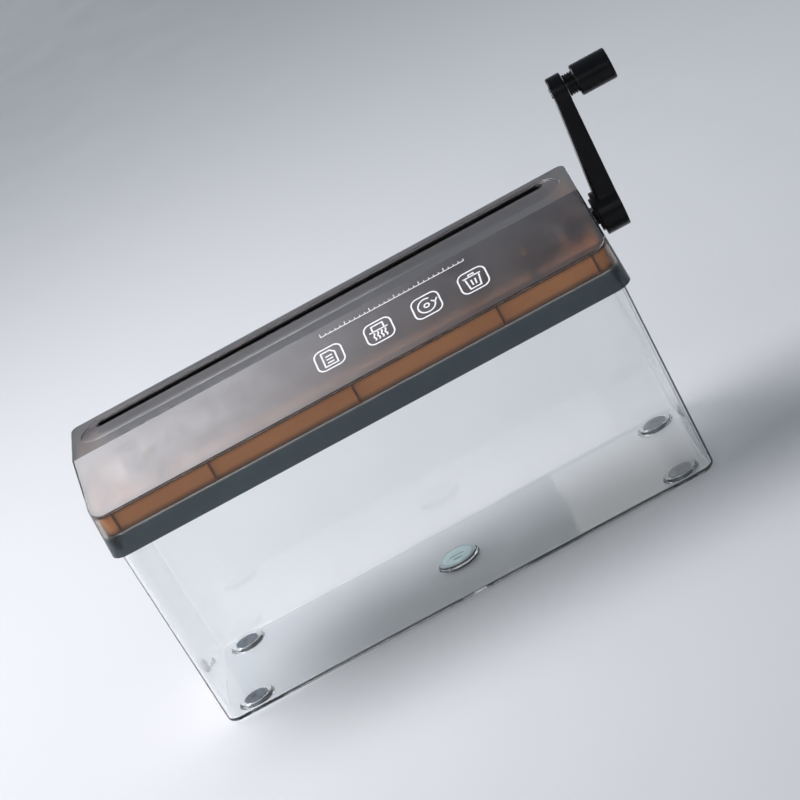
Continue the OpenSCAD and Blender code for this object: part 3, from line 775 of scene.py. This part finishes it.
def tray_cutter():
    """The space over the tray: a round-ended outline whose sides roll in and down to a dished floor."""
    half_y = (TRAY_BACK_Y - TRAY_FRONT_Y) / 2
    centre = Vector((MID_X, (TRAY_FRONT_Y + TRAY_BACK_Y) / 2))
    steps = 28
    lip, foot = 0.7 * MM, 1.6 * MM
    sides = [(-lip, -1 * MM, 0.0), (-lip, 0.0, 0.0)]
    for a in (0.4, 0.8, 1.2, math.pi / 2):
        sides.append((-lip + lip * math.sin(a), 0.0, 0.45 * (1 - math.cos(a))))
    for a in (0.3, 0.6, 0.9, 1.2, math.pi / 2):
        sides.append((foot * (1 - math.cos(a)), 0.0, 0.45 + 0.55 * math.sin(a)))
    rings = []
    for inset, lift, share in sides:
        outline = rounded_outline(TRAY_HALF - inset, half_y - inset, half_y - inset - 0.01 * MM, steps)
        ring = at_height(outline, centre, 0)
        for point in ring:
            point.z = HEAD_HIGH.z - lift - tray_depth(point.y) * share
        rings.append(ring)
    foot_ring = rings[-1]
    slot_ring = at_height(slot_outline(0, steps), slot_centre(), 0)
    stations = 12
    for i in range(1, stations + 1):
        ring = [a.lerp(b, i / stations) for a, b in zip(foot_ring, slot_ring)]
        for point in ring:
            point.z = HEAD_HIGH.z - tray_depth(point.y)
        rings.append(ring)
    return loft("tray_cutter", rings)


def slot_outline(grow, steps=10):
    """The feed slot's outline, with round ends, grown by some amount."""
    half_x = (GUIDE_HIGH.x - GUIDE_LOW.x) / 2 - GUIDE_WALL + grow
    half_y = (GUIDE_HIGH.y - GUIDE_LOW.y) / 2 - GUIDE_WALL + grow
    return rounded_outline(half_x, half_y, half_y * 0.99, steps)


def slot_centre():
    """The middle of the feed slot."""
    return (GUIDE_LOW + GUIDE_HIGH) / 2


def head_bosses():
    """Screw bosses that hang from the roof, ended inside its thickness."""
    bosses = []
    for x, y in BOSS_PLACES:
        place = Vector((MID_X + x, y, 0))
        low = COVER_LOW.z + 2 * MM
        edge = 0.4 * MM
        profile = arc((BOSS_RADIUS - edge, low + edge), edge, -90, 0, 3) + [(BOSS_RADIUS, HEAD_HIGH.z)]
        boss = lathe("boss", profile, place, steps=24)
        limit = head_body("limit", WALL / 2, ROOF / 2, [(0, HEAD_LOW.z)], 4)
        bosses.append(combine(boss, [limit], "INTERSECT"))
    return bosses


def stop_ribs():
    """Thin upright ribs between the skirt and the inner cover."""
    ribs = []
    reach = HEAD_HIGH.y - WALL + 0.3 * MM
    for x in RIB_PLACES:
        for side in (-1, 1):
            ends = sorted((side * reach, side * (COVER_HIGH.y + 0.1 * MM)))
            low = (MID_X + x - RIB_WIDTH / 2, ends[0], BIN_HIGH.z + 0.1 * MM)
            high = (MID_X + x + RIB_WIDTH / 2, ends[1], COVER_HIGH.z - 0.1 * MM)
            ribs.append(block("rib", low, high))
    return ribs


# places in the head's list of materials, after the polished one
FROSTED, DARK, SATIN = 1, 2, 3


def paint_head(shell):
    """Sets frosted panels, tray and bosses, dark ribs, a painted shade line along the folds and a satin top apart
    from the rest.
    """
    for face in shell.data.polygons:
        depth = HEAD_HIGH.z - face.center.z
        # the flat top takes the satin material, whose slate colour is painted reflection
        if face.normal.z > 0.999 and depth < 0.005 * MM:
            face.material_index = SATIN
        elif face.normal.z > 0.5 and depth < TRAY_BACK_DEPTH + 0.1 * MM:
            if TRAY_FRONT_Y - 1 * MM < face.center.y < TRAY_BACK_Y + 1 * MM:
                if abs(face.center.x - MID_X) < TRAY_HALF + 1 * MM:
                    face.material_index = FROSTED
        for point, normal in panel_planes():
            if face.normal.dot(normal) > 0.97 and abs((face.center - point).dot(normal)) < 0.3 * MM:
                face.material_index = FROSTED
        near_rib = min(abs(face.center.x - MID_X - x) for x in RIB_PLACES) < RIB_WIDTH * 0.6
        if near_rib and COVER_HIGH.y < abs(face.center.y) < HEAD_HIGH.y - WALL * 0.99:
            if BIN_HIGH.z < face.center.z < COVER_HIGH.z + 1 * MM:
                face.material_index = DARK
        # painted shade: the faces of the fold under each panel take the dark fold colour
        if abs(face.center.z - SHOULDER_Z) < HEAD_EDGE and abs(face.center.y) > HEAD_HIGH.y - 2 * HEAD_EDGE:
            if 0.05 < face.normal.z < 0.85:
                face.material_index = DARK
        boss_gap = min((face.center.xy - Vector((MID_X + x, y))).length for x, y in BOSS_PLACES)
        if boss_gap < BOSS_RADIUS + 0.1 * MM and abs(face.normal.z) < 0.5:
            face.material_index = FROSTED


def build_head(materials):
    """The smoked head: one hollow shell with its tray, slot, ribs, screw bosses and crank hole."""
    rim = arc((0, HEAD_LOW.z + HEAD_EDGE), HEAD_EDGE, -90, 0, 4)
    rim = [(HEAD_EDGE - x, z) for x, z in rim]
    shell = head_body("smoked_head", 0, 0, rim, 12, materials)
    round_head(shell)
    hollow = head_body("hollow", WALL, ROOF, [(0, HEAD_LOW.z - 2 * MM)], 8)
    slot = loft("slot", [at_height(slot_outline(GUIDE_WALL), slot_centre(), z)
                         for z in (HEAD_HIGH.z - 2 * ROOF, HEAD_HIGH.z + ROOF)])
    combine(shell, [hollow, tray_cutter(), slot], "DIFFERENCE")
    combine(shell, head_bosses() + stop_ribs(), "UNION")
    holes = [lathe("pilot", [(PILOT_RADIUS, COVER_LOW.z), (PILOT_RADIUS, PILOT_TOP)],
                   Vector((MID_X + x, y, 0)), steps=20) for x, y in BOSS_PLACES]
    wall_x = HEAD_HIGH.x - CRANK_AXIS.x
    holes.append(lathe("crank_hole", [(CRANK_HOLE, wall_x - 6 * MM), (CRANK_HOLE, wall_x + 2 * MM)],
                       CRANK_AXIS, "X", steps=64))
    combine(shell, holes, "DIFFERENCE")
    paint_head(shell)
    finished(shell, "head", ["head_shell"])


def build_guide(material):
    """The black chute that lines the slot, with round ends and a rolled lip."""
    lip, gap = 0.4 * MM, 0.02 * MM
    low, high = GUIDE_LOW.z, GUIDE_HIGH.z
    sections = [(GUIDE_WALL, low), (GUIDE_WALL, high - lip)]
    sections += [(GUIDE_WALL - lip + x, high - lip + z) for x, z in arc((0, 0), lip, 0, 90, 4)][1:]
    sections += [(lip + x, high - lip + z) for x, z in arc((0, 0), lip, 90, 180, 4)]
    sections += [(0, low + 1 * MM), (0.5 * MM, low)]
    rings = [at_height(slot_outline(grow - gap), slot_centre(), z) for grow, z in sections]
    guide = loft("slot_chute", rings, [material], looped=True)
    finished(guide, "head", ["feed_guide"])


# ---------------------------------------------------------------- printed marks


PANEL_ORIGIN_V = 20 * MM
INK_WIDTH = 0.75 * MM
INK_LIFT = 0.06 * MM
MARK_PLACES = [-3.1 * MM, 22 * MM, 46 * MM, 69.5 * MM]
MARK_HALF_X = 6.7 * MM
MARK_HALF_Y = 6.4 * MM


def on_panel(u, v, lift):
    """A point of the front panel: u along it from the middle, v up its slope from its lower edge."""
    point, normal = panel_planes()[0]
    up_slope = Vector((0, normal.z, -normal.y))
    return Vector((MID_X + u, 0, 0)) + Vector((0, point.y, point.z)) + up_slope * v + normal * lift


def stroke(bm, points, width=INK_WIDTH, closed=False):
    """A printed line of even width through flat points, as a thin closed ribbon on the panel."""
    count = len(points)
    left, right = [], []
    for i, (x, y) in enumerate(points):
        before = points[i - 1] if i or closed else points[i]
        after = points[(i + 1) % count] if i < count - 1 or closed else points[i]
        a = Vector((x - before[0], y - before[1]))
        b = Vector((after[0] - x, after[1] - y))
        a = a.normalized() if a.length else b.normalized()
        b = b.normalized() if b.length else a
        across = Vector((-(a + b).y, (a + b).x)).normalized()
        reach = width / 2 / max(0.5, across.dot(Vector((-a.y, a.x))))
        left.append((x + across.x * reach, y + across.y * reach))
        right.append((x - across.x * reach, y - across.y * reach))
    rows = []
    for side, lift in ((left, INK_LIFT), (right, INK_LIFT), (right, -INK_LIFT), (left, -INK_LIFT)):
        rows.append([bm.verts.new(on_panel(u, v, lift)) for u, v in side])
    last = count if closed else count - 1
    for k in range(4):
        for i in range(last):
            j = (i + 1) % count
            bm.faces.new((rows[k][i], rows[k][j], rows[(k + 1) % 4][j], rows[(k + 1) % 4][i]))
    if not closed:
        bm.faces.new([row[0] for row in rows])
        bm.faces.new([row[-1] for row in rows][::-1])


def shifted(points, u, v):
    """Points moved by u and v."""
    return [(x + u, y + v) for x, y in points]


def scaled(points):
    """Points given in millimetres, in metres."""
    return [(x * MM, y * MM) for x, y in points]


def sheet_mark():
    """Lines of a sheet of paper with a turned corner and plain rules on it."""
    sheet = [(-3.2, -4.4), (3.2, -4.4), (3.2, 2.4), (1.2, 4.4), (-3.2, 4.4)]
    rules = [[(-1.7, y), (1.7, y)] for y in (1.4, -0.6, -2.6)]
    return [(scaled(sheet), True)] + [(scaled(rule), False) for rule in rules]


def strips_mark():
    """Lines of a sheet going through a slot and leaving it as wavy strips."""
    lines = [[(-4.6, 1.0), (4.6, 1.0)], [(-2.8, 1.0), (-2.8, 4.4), (2.8, 4.4), (2.8, 1.0)]]
    for x in (-2.8, -0.93, 0.93, 2.8):
        lines.append([(x + 0.35 * math.sin(i * 1.1), 0.2 - 0.52 * i) for i in range(10)])
    return [(scaled(line), False) for line in lines]


def turn_mark():
    """Lines of an arrow going round a hub."""
    ring = arc((0, 0), 4.2, 60, 360, 26)
    hub = arc((0, 0), 1.2, 0, 345, 14)
    head = [(2.6, 1.5), (4.2, -0.1), (5.6, 1.7)]
    return [(scaled(ring), False), (scaled(hub), True), (scaled(head), False)]


def bin_mark():
    """Lines of a bin with a lid."""
    body = [(-3.4, 2.2), (-2.6, -4.4), (2.6, -4.4), (3.4, 2.2)]
    lid = [(-4.4, 2.9), (4.4, 2.9)]
    knob = [(-1.2, 2.9), (-1.2, 4.3), (1.2, 4.3), (1.2, 2.9)]
    slats = [[(-1.0, 0.8), (-0.8, -2.8)], [(1.0, 0.8), (0.8, -2.8)]]
    return [(scaled(line), False) for line in [body, lid, knob] + slats]


def finish_print(name, bm, ink):
    """A printed piece on the head."""
    finished(mesh_object(name, bm, [ink]), "head")


def build_marks(ink):
    """Four framed pictograms and a plain ruler scale on the front panel."""
    drawings = {"sheet": sheet_mark(), "strips": strips_mark(), "turn": turn_mark(), "bin": bin_mark()}
    for u, (name, lines) in zip(MARK_PLACES, drawings.items()):
        bm = bmesh.new()
        border = rounded_outline(MARK_HALF_X, MARK_HALF_Y, 3.4 * MM, 8)
        stroke(bm, shifted(border, u, PANEL_ORIGIN_V), closed=True)
        for line, closed in lines:
            stroke(bm, shifted(line, u, PANEL_ORIGIN_V), closed=closed)
        finish_print("mark_" + name, bm, ink)
    bm = bmesh.new()
    start, end, base = MARK_PLACES[0], MARK_PLACES[-1], 34 * MM
    stroke(bm, [(start, base), (end, base)], 0.4 * MM)
    ticks = 29
    for i in range(ticks + 1):
        u = start + (end - start) * i / ticks
        height = 2.2 * MM if i % 5 == 0 else 1.3 * MM
        stroke(bm, [(u, base), (u, base + height)], 0.4 * MM)
    finish_print("mark_scale", bm, ink)


# ---------------------------------------------------------------- crank


def from_middle(x):
    """An X given from the head's middle, measured from the crank's axis point."""
    return MID_X + x - CRANK_AXIS.x


def arm_face(height):
    """How far from the head's middle the arm's outer face is, at a height over the crank's axis."""
    return ARM_HIGH.x - MID_X - ARM_LEAN * (1 - height / (KNOB_AXIS.z - CRANK_AXIS.z))


def arm_bar():
    """The arm's bar: a rounded bar that starts round on the hub, leans outwards and narrows to the eye."""
    reach = KNOB_AXIS.z - CRANK_AXIS.z
    stations = 14
    rings = []
    for i in range(-6, stations + 1):
        if i < 0:
            angle = math.radians(90 * (-i) / 6 - 0.9)
            height, half = -WAIST * math.sin(angle), WAIST * math.cos(angle)
        else:
            height = reach * i / stations
            half = WAIST + (EYE_RADIUS - 1 * MM - WAIST) * i / stations
        inner = EYE_X - ARM_TAPER * min(1, max(0, 1 - height / (reach - EYE_RADIUS / 2)))
        outer = arm_face(height)
        rounding = min(1.3 * MM, half * 0.95)
        outline = rounded_outline((outer - inner) / 2, half, rounding, 5)
        place = Vector((MID_X + (inner + outer) / 2, CRANK_AXIS.y))
        rings.append(at_height(outline, place, CRANK_AXIS.z + height))
    return loft("arm_bar", rings)


def drum(name, radius, start, end, edge, place):
    """A short cylinder along X with rounded rims, from start to end as measured from the head's middle."""
    a, b = from_middle(start), from_middle(end)
    profile = swapped(arc((a + edge, radius - edge), edge, 180, 90, 5))
    profile += swapped(arc((b - edge, radius - edge), edge, 90, 0, 5))
    return lathe(name, profile, place, "X", steps=80)


def build_crank(material):
    """The crank arm: hub, boss, square stub, bar and eye, joined as one moulding."""
    arm = drum("crank_lever", HUB_RADIUS, HUB_X, arm_face(0) - 0.05 * MM, 0.5 * MM, CRANK_AXIS)
    arm.data.materials.append(material)
    for vert in arm.data.vertices:
        height = vert.co.z - CRANK_AXIS.z
        if vert.co.x > MID_X + HUB_X + 2 * MM:
            vert.co.x += arm_face(height) - arm_face(0)
    knob_place = Vector((CRANK_AXIS.x, KNOB_AXIS.y, KNOB_AXIS.z))
    eye_end = ARM_HIGH.x - MID_X
    boss = drum("boss", CRANK_BOSS_RADIUS, BOSS_X, HUB_X + 1 * MM, 0.3 * MM, CRANK_AXIS)
    eye = drum("eye", EYE_RADIUS, EYE_X, eye_end, 0.7 * MM, knob_place)
    half = STUB_SIDE / 2
    stub_outline = rounded_outline(half, half, 0.5 * MM, 3)
    stub_outline = [(CRANK_AXIS.y + y, CRANK_AXIS.z + z) for y, z in stub_outline]
    stub = prism("stub", stub_outline, ARM_LOW.x, MID_X + BOSS_X + 1 * MM, "X")
    combine(arm, [boss, stub, arm_bar(), eye], "UNION")
    hole_start, hole_end = from_middle(EYE_X) - 2 * MM, from_middle(eye_end) + 2 * MM
    hole = lathe("pin_hole", [(PIN_RADIUS, hole_start), (PIN_RADIUS, hole_end)], knob_place, "X", steps=40)
    combine(arm, [hole], "DIFFERENCE")
    finished(arm, "crank", ["crank_arm"])


def build_knob(material):
    """The turning knob: a ringed neck, a barrel with rounded rims and a pocket for its cap."""
    place = Vector((KNOB_LOW.x, KNOB_AXIS.y, KNOB_AXIS.z))
    length = KNOB_HIGH.x - KNOB_LOW.x
    barrel = KNOB_HIGH.z - KNOB_AXIS.z
    bore = PIN_RADIUS + 0.08 * MM
    neck, groove = 5.2 * MM, 0.4 * MM
    shoulder = 4.6 * MM
    edge = 0.9 * MM
    pocket, pocket_x = 5.25 * MM, length - 4.5 * MM
    profile = [(bore, 0)]
    profile += swapped(arc((0.3 * MM, neck - 0.3 * MM), 0.3 * MM, 180, 90, 3))
    for start in (0.9 * MM, 2.1 * MM, 3.3 * MM):
        profile += [(neck, start), (neck - groove, start + 0.1 * MM)]
        profile += [(neck - groove, start + 0.6 * MM), (neck, start + 0.7 * MM)]
    profile += [(neck, shoulder - 0.2 * MM)]
    profile += [(neck + 0.2 * MM, shoulder)]
    profile += swapped(arc((shoulder + edge, barrel - edge), edge, 180, 90, 6))
    profile += swapped(arc((length - edge, barrel - edge), edge, 90, 0, 6))
    profile += [(pocket + 0.2 * MM, length), (pocket, length - 0.2 * MM)]
    profile += [(pocket, pocket_x), (bore, pocket_x)]
    knob = lathe("turning_knob", profile, place, "X", [material], 80, looped=True)
    finished(knob, "knob", ["crank_knob"])


def build_cap(material):
    """The cap over the pin's head: a shallow dome with a raised ring."""
    low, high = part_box("knob_cap")
    place = Vector((low.x, KNOB_AXIS.y, KNOB_AXIS.z))
    depth = high.x - low.x
    radius = (high.y - low.y) / 2
    dome = 0.33 * MM
    face = depth - 0.35 * MM
    profile = [(radius, 0), (radius, face - 0.25 * MM), (radius - 0.25 * MM, face), (radius - 0.9 * MM, face)]
    profile += [(radius - 1.2 * MM, face - 0.3 * MM), (radius - 1.5 * MM, face - 0.3 * MM)]
    steps = 6
    inner = radius - 1.7 * MM
    for i in range(steps):
        share = i / steps
        profile.append((inner * (1 - share), face + dome * math.sin(share * math.pi / 2)))
    profile.append((AXIS_GAP, face + dome))
    cap = lathe("knob_end_cap", profile, place, "X", [material], 64)
    finished(cap, "knob", ["knob_cap"])


# ---------------------------------------------------------------- CAD nodes that stay


def dress_cad_nodes(materials):
    """Gives every CAD node the procedural material of its slot."""
    for part in frame["record"]["subparts"]:
        node = frame["nodes"][part["node"]]
        node.data.materials.clear()
        node.data.materials.append(materials[part["material_slot"]])


# ---------------------------------------------------------------- stage


CAMERA_PLACE = Vector((0.0887, -1.3856, 0.5938))
CAMERA_YAW = math.radians(-3.92)
CAMERA_DIP = math.radians(20.09)
CAMERA_ROLL = math.radians(-29.64)
CAMERA_LENS = 145.4


def place_camera():
    """Looks down at the front from a little right of the middle, with the camera rolled."""
    forward = Vector((math.sin(CAMERA_YAW) * math.cos(CAMERA_DIP),
                      math.cos(CAMERA_YAW) * math.cos(CAMERA_DIP), -math.sin(CAMERA_DIP)))
    level = forward.cross(UP).normalized()
    upright = level.cross(forward)
    right = level * math.cos(CAMERA_ROLL) + upright * math.sin(CAMERA_ROLL)
    up = upright * math.cos(CAMERA_ROLL) - level * math.sin(CAMERA_ROLL)
    data = bpy.data.cameras.new("camera")
    data.lens = CAMERA_LENS
    data.sensor_width = 36
    data.clip_end = 50
    camera = bpy.data.objects.new("camera", data)
    turn = Matrix((right, up, -forward)).transposed().to_4x4()
    camera.matrix_world = Matrix.Translation(CAMERA_PLACE) @ turn
    bpy.context.scene.collection.objects.link(camera)
    bpy.context.scene.camera = camera


def softbox(name, place, target, width, height, watts, colour=(1, 1, 1)):
    """A rectangular lamp aimed at a point."""
    data = bpy.data.lights.new(name, "AREA")
    data.shape = "RECTANGLE"
    data.size, data.size_y = width, height
    data.energy = watts
    data.color = colour
    lamp = bpy.data.objects.new(name, data)
    lamp.location = place
    lamp.rotation_euler = (Vector(target) - Vector(place)).to_track_quat("-Z", "Y").to_euler()
    bpy.context.scene.collection.objects.link(lamp)


def light_stage():
    """Soft boxes above on the left, in front, at the left, and low, high and to the left behind."""
    middle_point = (MID_X, 0, 0.09)
    softbox("key", (-0.45, 0.22, 0.9), (-0.17, 0.05, 0.1), 0.7, 0.5, 11.5, (0.97, 0.96, 1))
    softbox("front", (-0.5, -1.6, 0.8), middle_point, 1.2, 0.9, 7, (1, 0.98, 0.96))
    softbox("strip", (-1.3, -0.5, 0.5), middle_point, 0.12, 0.9, 3)
    softbox("back_card", (-0.7, 2.3, 0.33), (-0.1, 0, 0.13), 1.2, 0.34, 2.8)
    softbox("back_right", (0.25, 2.3, 1.0), (0.1, 0, 0.13), 0.6, 0.5, 0.4, (1, 0.94, 0.88))
    softbox("back_left", (-1.1, 0.8, 0.75), middle_point, 0.5, 0.5, 3.5)
    world = bpy.data.worlds.new("studio")
    world.use_nodes = True
    background = world.node_tree.nodes["Background"]
    background.inputs["Color"].default_value = (0.55, 0.65, 0.78, 1)
    background.inputs["Strength"].default_value = 0.35
    bpy.context.scene.world = world


def lay_floor(material):
    """A wide pale floor at the feet's undersides."""
    half = 6
    floor = prism("floor", rounded_outline(half, half, 1, 8), -0.02, 0, materials=[material])


def set_light_paths():
    """Lets light through as many layers of plastic as lie in its way, and keeps colours plain."""
    cycles = bpy.context.scene.cycles
    cycles.max_bounces = 16
    cycles.transmission_bounces = 16
    cycles.transparent_max_bounces = 24
    bpy.context.scene.view_settings.view_transform = "Standard"


# ---------------------------------------------------------------- assembly

place_camera()
light_stage()
lay_floor(floor_paint())
set_light_paths()

slot_materials = {
    "clear_plastic": clear_plastic(),
    "smoked_plastic": smoked_plastic(),
    "amber_plastic": tan_plastic(),
    "black_plastic": black_plastic(),
    "comb_plastic": comb_plastic(),
    "gear_plastic": gear_plastic(),
    "rubber": rubber(),
    "label": label_film(),
    "cutter_steel": steel(),
    "zinc_steel": zinc(),
    "bronze": bronze(),
}
dress_cad_nodes(slot_materials)
build_bin(slot_materials["clear_plastic"])
for foot_node in FEET:
    build_foot(foot_node, slot_materials["rubber"])
build_label(slot_materials["label"], label_ink())
build_head([slot_materials["smoked_plastic"], frosted_plastic(), rib_plastic(), satin_plastic()])
build_guide(slot_materials["black_plastic"])
build_marks(white_ink())
build_crank(slot_materials["black_plastic"])
build_knob(slot_materials["black_plastic"])
build_cap(slot_materials["black_plastic"])
